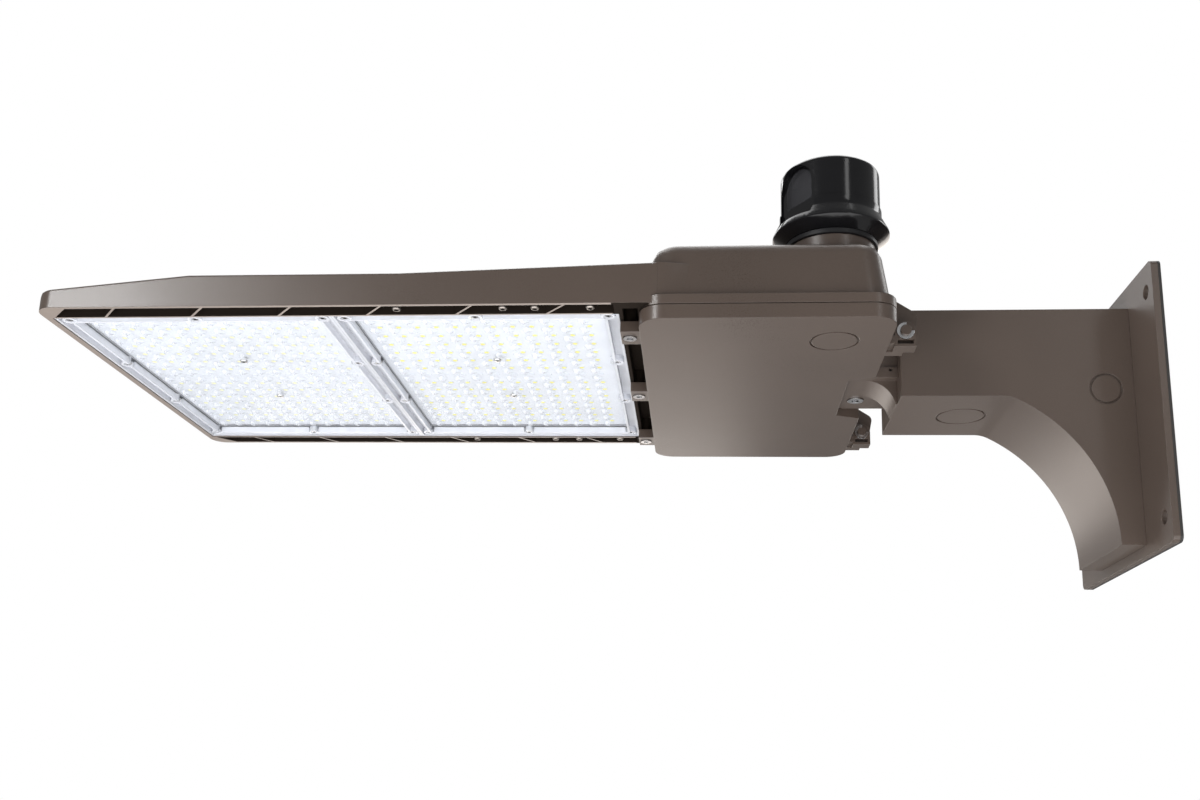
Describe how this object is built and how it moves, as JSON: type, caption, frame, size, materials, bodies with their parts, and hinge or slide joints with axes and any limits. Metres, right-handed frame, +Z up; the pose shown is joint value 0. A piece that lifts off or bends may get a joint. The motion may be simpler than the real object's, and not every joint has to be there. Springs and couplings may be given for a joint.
{
  "type": "shoebox area light",
  "caption": "Bronze shoebox area light on a curved cast wall arm, with clear LED optic plates, a hinged driver door and a twist-lock photocell on top.",
  "frame": {"origin": "middle of the wall bolt pattern, on the back face of the wall plate's gasket", "axes": "+X away from the wall along the head, +Y across the head, +Z up"},
  "size_m": [0.8359, 0.347, 0.2792],
  "materials": {
    "arm_bronze": "satin powder coat",
    "head_bronze": "satin powder coat",
    "seal_rubber": "matte",
    "zinc_steel": "zinc plated",
    "clear_optic": "clear",
    "white_board": "white solder mask",
    "driver_silver": "plain",
    "surge_red": "moulded",
    "terminal_white": "moulded",
    "ground_green": "gloss",
    "socket_black": "moulded",
    "cell_black": "gloss",
    "cell_clear": "clear",
    "sensor_pale": "matte",
    "contact_brass": "plain"
  },
  "bodies": {
    "lamp": {"wall_gasket": "seal_rubber", "wall_plate": "arm_bronze", "arm": "arm_bronze", "arm_screws": "zinc_steel", "neck": "arm_bronze", "neck_seal": "seal_rubber", "neck_bolts": "zinc_steel", "head_bolts": "zinc_steel", "neck_screw": "zinc_steel", "head_housing": "head_bronze", "hinge_pins": "head_bronze", "hinge_clips": "zinc_steel", "led_board_front": "white_board", "led_board_rear": "white_board", "lens_gasket_front": "seal_rubber", "lens_gasket_rear": "seal_rubber", "lens_front": "clear_optic", "lens_rear": "clear_optic", "lens_screws": "zinc_steel", "centre_screws": "zinc_steel", "pocket_screws": "zinc_steel", "led_driver": "driver_silver", "driver_screws": "zinc_steel", "surge_protector": "surge_red", "terminal_block": "terminal_white", "ground_screw": "ground_green", "board_grommet": "seal_rubber", "door_gasket": "seal_rubber"},
    "door": {"door": "head_bronze", "door_screws": "zinc_steel"},
    "turret": {"receptacle": "socket_black", "receptacle_ring": "zinc_steel"},
    "photocell": {"photocell_base": "cell_black", "photocell_cap": "cell_black", "photocell_window": "cell_clear", "photocell_sensor": "sensor_pale", "photocell_blades": "contact_brass"}
  },
  "joints": [
    {"name": "door_hinge", "type": "hinge", "parent": "lamp", "child": "door", "pos_m": [0.191, 0, 0.0452], "axis": [0, 1, 0], "range_deg": [0, 70]},
    {"name": "turret_aim", "type": "hinge", "parent": "lamp", "child": "turret", "pos_m": [0.244, 0.116, 0.109], "axis": [0, 0, 1], "range_deg": [-175, 175]},
    {"name": "photocell_twist", "type": "hinge", "parent": "turret", "child": "photocell", "pos_m": [0.244, 0.116, 0.113], "axis": [0, 0, 1], "range_deg": [0, 20]}
  ]
}
